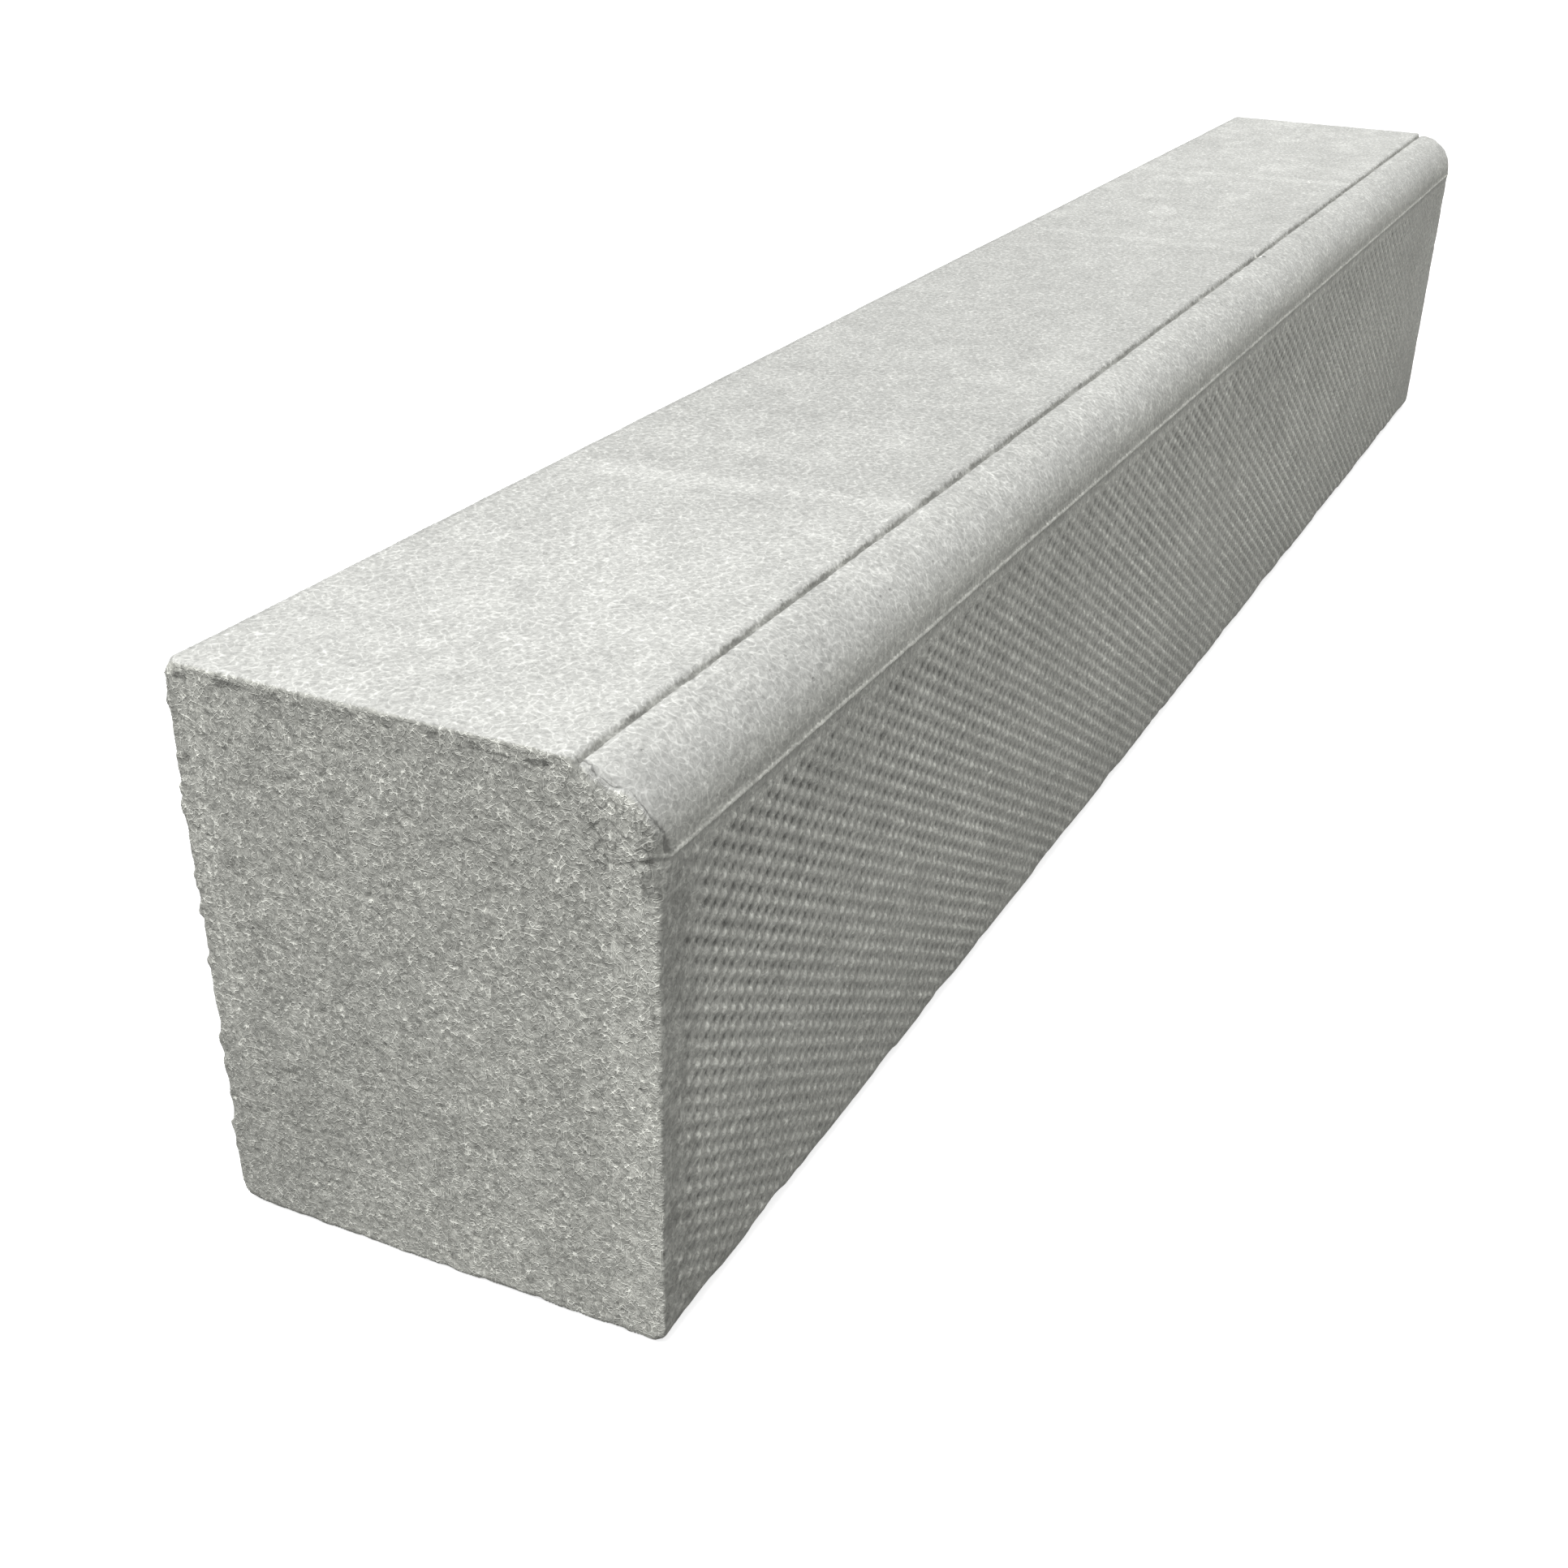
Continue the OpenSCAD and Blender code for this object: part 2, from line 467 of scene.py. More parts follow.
def end_zone_points(s0, s1):
    """Fine rows of points beside both ends, between the distances s0 and s1 of a skin."""
    rows = []
    for k, away in enumerate(END_STEPS[1:]):
        spacing = RING_STEP * (1 + 0.12 * k)
        s = spread(s0, s1, spacing)
        s = (s[:-1] + s[1:]) / 2
        for side in (-1, 1):
            rows.append(np.stack([np.full(len(s), side * (HALF - away)), s], 1))
    return np.concatenate(rows)


def dot_points():
    """A top and a foot ring for every dot, and the points between the dots."""
    column, row = np.meshgrid(np.arange(DOT_COLUMNS), np.arange(DOT_ROWS), indexing="ij")
    column, row = column.ravel(), row.ravel()
    real = row < DOT_ROWS - column % 2
    column, row = column[real], row[real]
    cx, cz = dot_centre(column, row)
    start = math.pi * lattice_random(column, row, 0 * row, 71)
    found = [np.stack([cx, cz - DOT_PITCH / 2], 1)]
    for radius, corners, drop in ((0.36 * DOT_R, 4, 0), (0.98 * DOT_R, 5, 0), (0.95, 4, DOT_PITCH / 2)):
        for k in range(corners):
            turn = start + 2 * math.pi * k / corners
            found.append(np.stack([cx + radius * np.cos(turn), cz - drop + radius * np.sin(turn)], 1))
    found = np.concatenate(found)
    low_z = BASE_FRONT_R + 0.5
    inside = (np.abs(found[:, 0]) < HALF - END_ZONE - 0.5) & (found[:, 1] > low_z)
    found = found[inside]
    return np.stack([found[:, 0], face_s(found[:, 1])], 1)


def face_s(z):
    """Distance along the section of a height on the flat road face."""
    return AT["face"] + (FIN_Z - FIN_W / 2) - z


def facing_points():
    """Points inside the facing layer's skin, away from its edges."""
    x0, x1 = -HALF + END_ZONE, HALF - END_ZONE
    top0 = AT["top"]
    groove0, groove1 = GROOVE_S - 2.2, GROOVE_S + 2.2
    fin0, fin1 = FIN_S - 1.8, FIN_S + 1.8
    return np.concatenate([
        end_zone_points(AT["upper_seam"], AT["lower_seam"]),
        grid(x0, x1, 1.2, AT["top_back"] - 0.3, 4.0, 3.0),
        lines(x0, x1, np.linspace(AT["top_back"], top0 + 1.2, 5), 2.2),
        grid(x0, x1, top0 + 2.0, groove0 - 1.0, 6.0, 5.0, 0.15, 81),
        lines(x0, x1, np.linspace(groove0, groove1, 9), 2.1),
        grid(x0, x1, groove1 + 0.6, fin0 - 0.6, 4.0, 2.9, 0.1, 83),
        lines(x0, x1, np.linspace(fin0, fin1, 7), 2.0),
        dot_points(),
        lines(x0, x1, np.linspace(AT["base_front"] - 0.4, AT["base_strip"] + 0.4, 6), 2.4),
        grid(x0, x1, AT["base_strip"] + 1.2, AT["lower_seam"] - 1.2, 4.0, 3.0),
    ])


def backing_points():
    """Points inside the backing concrete's skin, away from its edges."""
    x0, x1 = -HALF + END_ZONE, HALF - END_ZONE
    return np.concatenate([
        end_zone_points(AT["lower_seam"], AT["end"]),
        grid(x0, x1, AT["lower_seam"] + 1.2, AT["base_back"] - 1.5, 3.2, 2.8, 0.15, 85),
        lines(x0, x1, np.linspace(AT["base_back"] - 0.5, AT["back"] + 0.5, 6), 2.2),
        grid(x0, x1, AT["back"] + 1.5, AT["end"] - 1.2, 3.2, 2.8, 0.15, 87),
    ])


# ---------------------------------------------------------------- meshes
def inside_polygon(points, loop):
    """Which 2-D points lie inside a closed loop."""
    inside = np.zeros(len(points), bool)
    ahead = np.roll(loop, -1, 0)
    for (y0, z0), (y1, z1) in zip(loop, ahead):
        if z0 == z1:
            continue
        crosses = (z0 > points[:, 1]) != (z1 > points[:, 1])
        at = y0 + (points[:, 1] - z0) * (y1 - y0) / (z1 - z0)
        inside ^= crosses & (points[:, 0] < at)
    return inside


def triangulate(rim, inner):
    """Triangles that fill the closed rim, a loop of 2-D points, through the inner points."""
    flat = np.concatenate([rim, inner])
    corners = [Vector(p) for p in flat]
    verts, _, faces, _, _, _ = delaunay_2d_cdt(corners, [], [tuple(range(len(rim)))], 1, 1e-6, True)
    if len(verts) != len(flat):
        raise ValueError(f"the rim crosses itself: {len(flat)} points became {len(verts)}")
    faces = np.array(faces)
    return faces[inside_polygon(flat[faces].mean(1), rim)]


def skin(s0, s1, inner):
    """One concrete's outer skin between two seams: its 3-D points and triangles."""
    ring = spread(s0, s1, RING_STEP)
    xs = seam_x()
    rim = np.concatenate([
        np.stack([xs[:-1], np.full(len(xs) - 1, s0)], 1),
        np.stack([np.full(len(ring) - 1, HALF), ring[:-1]], 1),
        np.stack([xs[:0:-1], np.full(len(xs) - 1, s1)], 1),
        np.stack([np.full(len(ring) - 1, -HALF), ring[:0:-1]], 1),
    ])
    flat = np.concatenate([rim, inner])
    points, looks = surface(flat[:, 0], flat[:, 1])
    return points, looks, triangulate(rim, inner)


def key_line():
    """The line where the two concretes meet in the section, from the back seam to the base seam."""
    level = spread(BACK - KEY_CORNER_Y, 0, 2.0)
    upright = spread(0, KEY_CORNER_Z, 2.0)
    return np.concatenate([
        np.stack([KEY_CORNER_Y + level, KEY_Z + wave(level)], 1),
        arc_points(KEY_CORNER_Y, KEY_CORNER_Z, KEY_R, 90, 180, 14)[1:-1],
        np.stack([KEY_Y + wave(upright), KEY_CORNER_Z - upright], 1),
    ])


def arc_points(cy, cz, r, start, end, steps):
    turn = np.radians(np.linspace(start, end, steps + 1))
    return np.stack([cy + r * np.cos(turn), cz + r * np.sin(turn)], 1)


KEY_LINE = key_line()
KEY_INNER = KEY_LINE[(KEY_LINE[:, 0] < BACK - 5.0) & (KEY_LINE[:, 1] > 5.0)]


def key_on_end(left):
    """The key line's points on an end face, in 3-D."""
    y, z = KEY_INNER[:, 0], KEY_INNER[:, 1]
    side = -1 if left else 1
    return np.stack([side * (HALF - end_grain(y, z, left)), y, z], 1)


def away_from(points, loop, distance):
    """Which 2-D points keep a distance from every point of a loop."""
    keep = np.ones(len(points), bool)
    for start in range(0, len(points), 4000):
        block = points[start:start + 4000]
        gap = np.hypot(block[:, None, 0] - loop[None, :, 0], block[:, None, 1] - loop[None, :, 1]).min(1)
        keep[start:start + 4000] = gap > distance
    return keep


def end_cap(s0, s1, left, spacing):
    """One concrete's share of an end face: its 3-D points and triangles."""
    ring_s = spread(s0, s1, RING_STEP)
    ring, ring_looks = surface(np.full(len(ring_s), -HALF if left else HALF), ring_s)
    key = key_on_end(left)
    if s0 < 1:
        key = key[::-1]
    rim = np.concatenate([ring, key])
    low, high = rim[:, 1:].min(0), rim[:, 1:].max(0)
    inner = grid(low[0], high[0], low[1], high[1], spacing, spacing * 0.87, 0.22, 91)
    inner = inner[inside_polygon(inner, rim[:, 1:])]
    inner = inner[away_from(inner, rim[:, 1:], 0.55 * spacing)]
    grain = end_grain(inner[:, 0], inner[:, 1], left)
    side = -1 if left else 1
    lifted = np.stack([side * (HALF - grain), inner[:, 0], inner[:, 1]], 1)
    looks = np.concatenate([ring_looks, np.repeat(END_LOOK, len(key) + len(inner), 0)])
    return np.concatenate([rim, lifted]), looks, triangulate(rim[:, 1:], inner)


def key_face():
    """The face where the two concretes meet, out of sight: its 3-D points and triangles."""
    xs = seam_x()
    q = np.arange(1, len(KEY_INNER) + 1) * 2.0
    q_end = q[-1] + 2.0
    rim_flat = np.concatenate([
        np.stack([xs, np.zeros(len(xs))], 1),
        np.stack([np.full(len(q), HALF), q], 1),
        np.stack([xs[::-1], np.full(len(xs), q_end)], 1),
        np.stack([np.full(len(q), -HALF), q[::-1]], 1),
    ])
    upper, upper_looks = surface(xs, np.full(len(xs), AT["upper_seam"]))
    lower, lower_looks = surface(xs[::-1], np.full(len(xs), AT["lower_seam"]))
    rim = np.concatenate([upper, key_on_end(False), lower, key_on_end(True)[::-1]])
    across = spread(-HALF + 20, HALF - 20, 30.0)
    gx, gq = np.meshgrid(across, np.arange(1, len(q) - 1, 3), indexing="ij")
    gx, gq = gx.ravel(), gq.ravel()
    inner = np.stack([gx, KEY_INNER[gq, 0], KEY_INNER[gq, 1]], 1)
    ends = np.repeat(END_LOOK, len(q), 0)
    looks = np.concatenate([upper_looks, ends, lower_looks, ends, np.repeat(END_LOOK, len(inner), 0)])
    return np.concatenate([rim, inner]), looks, triangulate(rim_flat, np.stack([gx, q[gq]], 1))


def solid(name, patches):
    """One closed piece out of patches that share their rims. The last one is the face out of sight."""
    points = np.concatenate([p for p, _, _ in patches]) * MM
    looks = np.concatenate([k for _, k, _ in patches])
    counts = np.cumsum([0] + [len(p) for p, _, _ in patches])
    faces = np.concatenate([f + c for (_, _, f), c in zip(patches, counts)])
    mesh = bpy.data.meshes.new(name)
    mesh.from_pydata(points.tolist(), [], faces.tolist())
    for k, look in enumerate(LOOKS):
        layer = mesh.attributes.new(look, "FLOAT", "POINT")
        layer.data.foreach_set("value", looks[:, k].astype(np.float32))
    work = bmesh.new()
    work.from_mesh(mesh)
    buried = work.faces.layers.int.new("buried")
    first_buried = len(faces) - len(patches[-1][2])
    for k, face in enumerate(work.faces):
        face[buried] = k >= first_buried
        face.smooth = True
    bmesh.ops.remove_doubles(work, verts=work.verts, dist=1e-6)
    bmesh.ops.recalc_face_normals(work, faces=work.faces)
    for edge in work.edges:
        edge.smooth = len({face[buried] for face in edge.link_faces}) == 1
    work.faces.layers.int.remove(buried)
    work.to_mesh(mesh)
    work.free()
    piece = bpy.data.objects.new(name, mesh)
    bpy.context.scene.collection.objects.link(piece)
    return piece


def make_facing():
    s0, s1 = AT["upper_seam"], AT["lower_seam"]
    patches = [skin(s0, s1, facing_points())]
    patches += [end_cap(s0, s1, True, 0.95), end_cap(s0, s1, False, 1.2)]
    patches.append(key_face())
    return solid("facing_layer_cast", patches)


def make_backing():
    s0, s1 = AT["lower_seam"], AT["end"]
    patches = [skin(s0, s1, backing_points())]
    patches += [end_cap(s0, s1, True, 0.78), end_cap(s0, s1, False, 1.0)]
    patches.append(key_face())
    return solid("backing_concrete_cast", patches)


facing = make_facing()
backing = make_backing()


# ---------------------------------------------------------------- materials
class Nodes:
    """Makes a shader's nodes. A socket and a number may both be given wherever a value is wanted."""

    def __init__(self, tree):
        self.tree = tree
        tree.nodes.clear()

    def add(self, kind, inputs=(), **settings):
        made = self.tree.nodes.new(kind)
        for name, value in settings.items():
            setattr(made, name, value)
        for socket, value in dict(inputs).items():
            self.put(made.inputs[socket], value)
        return made

    def put(self, socket, value):
        if isinstance(value, bpy.types.NodeSocket):
            self.tree.links.new(value, socket)
        else:
            socket.default_value = value

    def math(self, operation, a, b=0.0):
        return self.add("ShaderNodeMath", {0: a, 1: b}, operation=operation).outputs[0]

    def ramp(self, value, low, high, out_low=0.0, out_high=1.0):
        """A smooth ramp: out_low below low, out_high above high."""
        inputs = {"Value": value, "From Min": low, "From Max": high, "To Min": out_low, "To Max": out_high}
        return self.add("ShaderNodeMapRange", inputs, interpolation_type="SMOOTHSTEP").outputs[0]

    def band(self, value, low, high, soft):
        """1 between low and high, falling to 0 over soft on both sides."""
        return self.product(self.ramp(value, low - soft, low), self.ramp(value, high, high + soft, 1.0, 0.0))

    def noise(self, where, size, detail=2.0, roughness=0.5, offset=0.0):
        """Noise from about 0 to 1 with lumps of that size in millimetres; size may differ by axis."""
        sizes = size if isinstance(size, tuple) else (size,) * 3
        scaled = self.add(
            "ShaderNodeVectorMath", {0: where, 1: tuple(1 / v for v in sizes), 2: (offset,) * 3},
            operation="MULTIPLY_ADD",
        ).outputs[0]
        inputs = {"Vector": scaled, "Scale": 1.0, "Detail": detail, "Roughness": roughness}
        return self.add("ShaderNodeTexNoise", inputs).outputs["Fac"]

    def cells(self, where, size, offset=0.0):
        """Voronoi cells of that size in millimetres: distance from the middle, and a random value each."""
        scaled = self.add(
            "ShaderNodeVectorMath", {0: where, 1: (1 / size,) * 3, 2: (offset,) * 3}, operation="MULTIPLY_ADD"
        ).outputs[0]
        made = self.add("ShaderNodeTexVoronoi", {"Vector": scaled, "Scale": 1.0})
        value = self.add("ShaderNodeSeparateColor", {"Color": made.outputs["Color"]}).outputs["Red"]
        return made.outputs["Distance"], value

    def attribute(self, name):
        return self.add("ShaderNodeAttribute", attribute_name=name).outputs["Fac"]

    def product(self, first, *others):
        """All the values multiplied."""
        for other in others:
            first = self.math("MULTIPLY", first, other)
        return first

    def varied(self, value, amount, texture):
        """value times 1 plus or minus amount, as a texture of mean 0.5 says."""
        change = self.math("MULTIPLY_ADD", texture, 2 * amount)
        change.node.inputs[2].default_value = 1 - amount
        return self.product(value, change)

    def mix(self, factor, a, b):
        made = self.add("ShaderNodeMix", {"Factor": factor, "A": a, "B": b}, data_type="FLOAT")
        return made.outputs["Result"]

    def curls(self, where, size, width, offset=0.0):
        """Thin worm-like lines: where smooth noise crosses its middle."""
        off_middle = self.math("SUBTRACT", self.noise(where, size, 0.0, 0.5, offset), 0.5)
        return self.ramp(self.math("ABSOLUTE", off_middle), 0.0, width, 1.0, 0.0)

    def ragged_line(self, where, off, core, edge, wobble, offset):
        """1 on a line that a distance in millimetres gives, falling to 0 at its edge, with frayed sides."""
        frayed = self.math("SUBTRACT", self.noise(where, 2.0, 2.0, 0.6, offset), 0.5)
        off = self.math("ABSOLUTE", self.math("ADD", off, self.product(frayed, wobble)))
        patchy = self.ramp(self.noise(where, 9.0, 2.0, 0.6, offset + 5.0), 0.3, 0.6, 0.55, 1.0)
        return self.product(self.ramp(off, core, edge, 1.0, 0.0), patchy)

    def darker(self, value, factor, amount):
        """value, less that share of it where factor is 1. A negative amount makes it paler."""
        return self.product(value, self.math("SUBTRACT", 1.0, self.product(factor, amount)))

    def lined(self, value, lines, between, extra):
        """value times between, and times between plus extra on the lines."""
        return self.product(value, self.math("ADD", between, self.product(lines, extra)))


# ---------------------------------------------------------------- marks on the concrete, in millimetres
# on the top: pale drag marks and a dark band, all leaning a little, and a slanted scrape, where x + y is
# between its two sums
DRAG_MARKS_X = (-286.0, 95.0, 268.0)
DRAG_LEAN = 0.12
DARK_BAND_X = (-274.0, -262.0)
SCRAPE_SUM = (-201.0, -198.5)
SCRAPE_X = (-186.0, -163.0)

# in the groove: a painted highlight and a dark dot beside it, each as x, y, size and how much darker it is
GROOVE_SPOT_X = 92.0
HIGHLIGHT_AND_DOT_MARKS = ((GROOVE_SPOT_X, NOSE_Y + 0.5, 1.5, -1.3), (GROOVE_SPOT_X + 0.5, NOSE_Y - 1.7, 0.9, 0.75))

# on the road face: the uneven strip by the left end
PLAIN_STRIP_X = (-446.0, -438.0)

# on the ends: pale upright lines, each as y and the height from which it shows
SCORE_LINES = ((BACK - 5.0, 60.0), (BACK - 6.8, 52.0), (KEY_Y - 0.8, 98.0))

# green and blue beside red in the concrete's grey: painted light, the top and nose that face the light are a
# little bluer than the shaded rest
GREEN = 1.006
BLUE = 0.925
BLUE_LIT = 0.96


class Concrete(Nodes):
    """The nodes that every part of the concrete shares: place in millimetres, masks and textures."""

    def __init__(self, tree):
        super().__init__(tree)
        metres = self.add("ShaderNodeTexCoord").outputs["Object"]
        inputs = {0: metres, 1: (1 / MM,) * 3}
        self.where = self.add("ShaderNodeVectorMath", inputs, operation="MULTIPLY").outputs[0]
        self.x, self.y, self.z = self.add("ShaderNodeSeparateXYZ", {0: self.where}).outputs
        self.find_parts()
        self.make_textures()

    def find_parts(self):
        """Masks of the parts of the surface: 1 on the part, 0 off it."""
        self.on_end = self.attribute("end_face")
        self.off_end = self.ramp(self.on_end, 0.4, 0.9, 1.0, 0.0)
        self.on_top = self.product(self.ramp(self.z, TOP - 1.6, TOP - 0.7), self.off_end)
        by_front = self.ramp(self.y, FRONT + 1.4, FRONT + 2.4, 1.0, 0.0)
        below_fin = self.ramp(self.z, FIN_Z - 3.5, FIN_Z - 1.5, 1.0, 0.0)
        self.on_face = self.product(by_front, below_fin, self.off_end)
        by_back = self.ramp(self.y, BACK - 1.5, BACK - 0.6)
        by_base = self.ramp(self.z, 0.8, 1.6, 1.0, 0.0)
        back_or_base = self.product(self.math("MAXIMUM", by_back, by_base), self.off_end)
        self.coarse = self.math("MAXIMUM", self.on_end, self.product(back_or_base, 0.55))
        by_nose = self.ramp(self.y, NOSE_Y, NOSE_Y + 3.0, 1.0, 0.0)
        self.on_nose = self.product(by_nose, self.ramp(self.z, FIN_Z - 3.0, FIN_Z))
        self.groove = self.ragged_line(self.where, self.attribute("groove"), 0.55, 1.35, 1.9, 71.0)
        fin = self.ragged_line(self.where, self.attribute("fin"), 0.30, 0.95, 1.1, 73.0)
        self.fin = self.product(fin, self.ramp(self.on_end, 0.05, 0.3, 1.0, 0.0))

    def make_textures(self):
        where = self.where
        self.grain = self.noise(where, 1.5, 2.0, 0.65, 7.0)
        self.fine_curls = self.curls(where, 1.5, 0.06, 31.0)
        self.dark_curls = self.curls(where, 1.9, 0.05, 57.0)
        self.broken = self.ramp(self.noise(where, (14.0, 30.0, 30.0), 2.0, 0.5, 41.0), 0.25, 0.55)
        self.glints = self.specks(2.4, 47.0, 0.10, 0.20, 0.60)
        self.pits = self.specks(4.2, 43.0, 0.08, 0.17, 0.55)
        self.pores = self.specks(6.5, 17.0, 0.05, 0.11, 0.60)

    def specks(self, spacing, offset, core, edge, share):
        """Round specks, one to a cell, in the cells whose random value is over share."""
        away, pick = self.cells(self.where, spacing, offset)
        return self.product(self.ramp(away, core, edge, 1.0, 0.0), self.ramp(pick, share, share + 0.05))


def plain_tone(n, tone):
    """The smooth skin: clouded, with soft curls, and with drag marks and blotches on the top."""
    streak = n.noise(n.where, (2.6, 120.0, 40.0), 2.0, 0.5, 23.0)
    plain = n.varied(n.varied(tone, 0.50, n.grain), 0.02, streak)
    plain = n.lined(plain, n.curls(n.where, 2.3, 0.08, 67.0), 0.922, 0.25)
    plain = n.lined(plain, n.curls(n.where, 4.2, 0.06, 37.0), 0.975, 0.15)
    plain = n.darker(plain, n.dark_curls, 0.13)

    leaning = n.math("ADD", n.x, n.product(n.y, DRAG_LEAN))
    for at in DRAG_MARKS_X:
        drag = n.product(n.band(leaning, at - 1.5, at + 1.5, 6.0), n.broken, n.on_top)
        plain = n.darker(plain, drag, -0.12)
    scrape = n.product(n.band(n.math("ADD", n.x, n.y), *SCRAPE_SUM, 2.0), n.band(n.x, *SCRAPE_X, 5.0))
    plain = n.darker(plain, n.product(scrape, n.on_top), -0.10)
    plain = n.darker(plain, n.product(n.band(leaning, *DARK_BAND_X, 9.0), n.on_top), 0.045)
    blotches = n.ramp(n.noise(n.where, (34.0, 15.0, 20.0), 3.0, 0.6, 87.0), 0.53, 0.66)
    blotches = n.product(blotches, n.ramp(n.x, 20.0, 160.0), n.on_top)
    plain = n.darker(plain, blotches, -0.105)
    end_rim = n.product(n.ramp(n.x, -HALF + 1.6, -HALF + 4.5, 1.0, 0.0), n.on_top)
    plain = n.darker(plain, end_rim, -0.05)
    nearer = n.ramp(n.x, -410.0, -190.0, 0.085, -0.070)
    further = n.ramp(n.x, 60.0, 400.0, 0.0, 0.080)
    lighter = n.product(n.math("ADD", nearer, further), n.on_top)
    return n.product(plain, n.math("ADD", 1.0, lighter))


def end_tone(n, tone):
    """The rough end faces: grain, curls, pits and glints, chipped and cracked by the nose."""
    _, stone = n.cells(n.where, 2.0, 11.0)
    rough_tone = n.varied(n.varied(n.product(tone, 1.14), 0.62, n.grain), 0.18, stone)
    rough_tone = n.lined(rough_tone, n.fine_curls, 0.920, 0.72)
    rough_tone = n.darker(rough_tone, n.dark_curls, 0.30)
    rough_tone = n.darker(rough_tone, n.pits, 0.42)
    rough_tone = n.darker(rough_tone, n.glints, -0.42)

    rough_tone = n.darker(rough_tone, n.product(n.band(n.on_end, 0.2, 0.9, 0.1), n.on_nose), 0.10)
    by_nose = n.ramp(n.y, FRONT + 15.0, FRONT + 21.0, 1.0, 0.0)
    cracks = n.product(n.curls(n.where, 4.4, 0.055, 97.0), by_nose, n.ramp(n.z, NOSE_Z - 10.0, NOSE_Z - 4.0))
    rough_tone = n.darker(rough_tone, cracks, 0.42)
    to_nose = n.math("ADD", n.math("SUBTRACT", n.y, NOSE_Y), n.math("SUBTRACT", NOSE_Z, n.z))
    rough_tone = n.darker(rough_tone, n.product(n.band(to_nose, -30.0, -18.0, 3.0), n.broken), -0.16)

    low_back = n.product(n.ramp(n.y, 0.0, 58.0), n.ramp(n.z, 25.0, 75.0, 1.0, 0.0))
    rough_tone = n.darker(rough_tone, low_back, 0.13)
    rough_tone = n.darker(rough_tone, n.ramp(n.y, KEY_Y - 1.0, KEY_Y + 4.0, 1.0, 0.0), -0.13)
    back_band = n.product(n.band(n.y, BACK - 10.0, BACK - 3.5, 1.5), n.ramp(n.z, 45.0, 58.0))
    rough_tone = n.darker(rough_tone, back_band, -0.10)
    for at, low in SCORE_LINES:
        line = n.product(n.band(n.y, at - 0.25, at + 0.25, 0.35), n.ramp(n.z, low - 6.0, low), n.broken)
        rough_tone = n.darker(rough_tone, line, -0.22)
    bites = n.ramp(n.noise(n.where, (30.0, 6.0, 3.0), 3.0, 0.6, 61.0), 0.52, 0.60)
    return n.darker(rough_tone, n.product(n.band(n.z, TOP - 3.4, TOP - 2.0, 0.7), bites), 0.50)


def face_tone(n, tone):
    """The road face: a painted highlight on the dots and painted shade in the hollows under them, and an
    uneven strip by the near end.
    """
    # painted light and shade: the tone follows the dots' height, paler on the dots and darker in the hollows,
    # more so by the near end
    relief = n.ramp(n.attribute("dots"), -0.75, 0.55, -0.50, 0.27)
    relief = n.math("ADD", 1.0, n.product(relief, n.ramp(n.x, -430.0, -180.0, 1.22, 0.88)))
    tone = n.darker(tone, n.product(n.dark_curls, n.on_face), 0.16)
    tone = n.darker(tone, n.product(n.glints, n.on_face), -0.20)
    tone = n.product(tone, n.mix(n.on_face, 1.0, relief))
    level = n.product(n.ramp(n.x, -440.0, -150.0, 1.03, 1.08), n.ramp(n.z, 5.0, 70.0, 0.875, 1.030))
    level = n.varied(level, 0.13, n.noise(n.where, (60.0, 60.0, 26.0), 3.0, 0.6, 53.0))
    tone = n.product(tone, n.mix(n.on_face, 1.0, level))
    mottled = n.ramp(n.noise(n.where, 4.0, 2.0, 0.6, 93.0), 0.38, 0.56)
    strip = n.product(n.ramp(n.x, *PLAIN_STRIP_X, 1.0, 0.0), n.on_face, mottled)
    return n.darker(tone, strip, 0.24)


